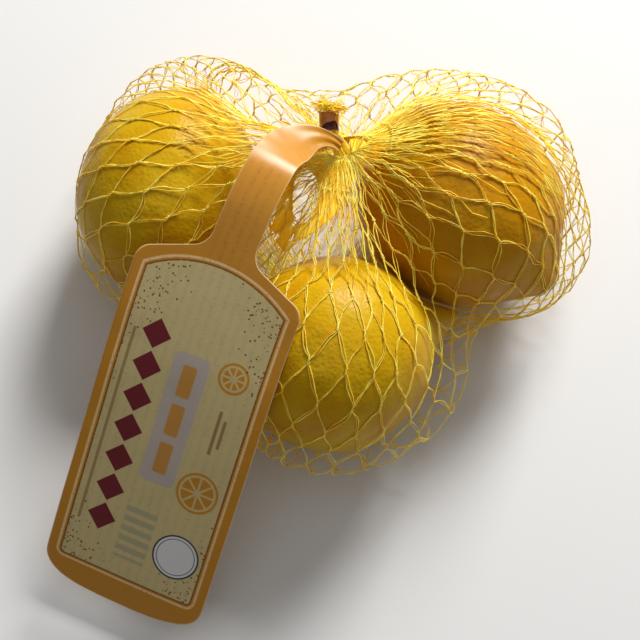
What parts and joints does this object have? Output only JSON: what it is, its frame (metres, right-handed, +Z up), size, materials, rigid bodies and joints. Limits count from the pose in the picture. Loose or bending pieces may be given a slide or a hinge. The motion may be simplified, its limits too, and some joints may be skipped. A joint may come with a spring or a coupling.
{
  "type": "net of lemons",
  "caption": "Knitted net bag of lemons, gathered at a neck by a band, with a film hang label on an arched strap.",
  "frame": {"origin": "under the middle of the pack's box, on the surface it rests on", "axes": "+Z up out of that surface, +Y from the label towards the neck and the far side of the net, +X from the left lemon to the right one"},
  "size_m": [0.1722, 0.1838, 0.0727],
  "materials": {
    "net": "knitted net of thin translucent yellow polyethylene tape over waxy yellow lemon peel",
    "label_film": "printed translucent film, orange border and cream field, soft gloss",
    "collar_film": "glossy orange-brown film band"
  },
  "bodies": {
    "root": {"net_bag": "net", "label": "label_film", "collar": "collar_film"}
  },
  "joints": []
}
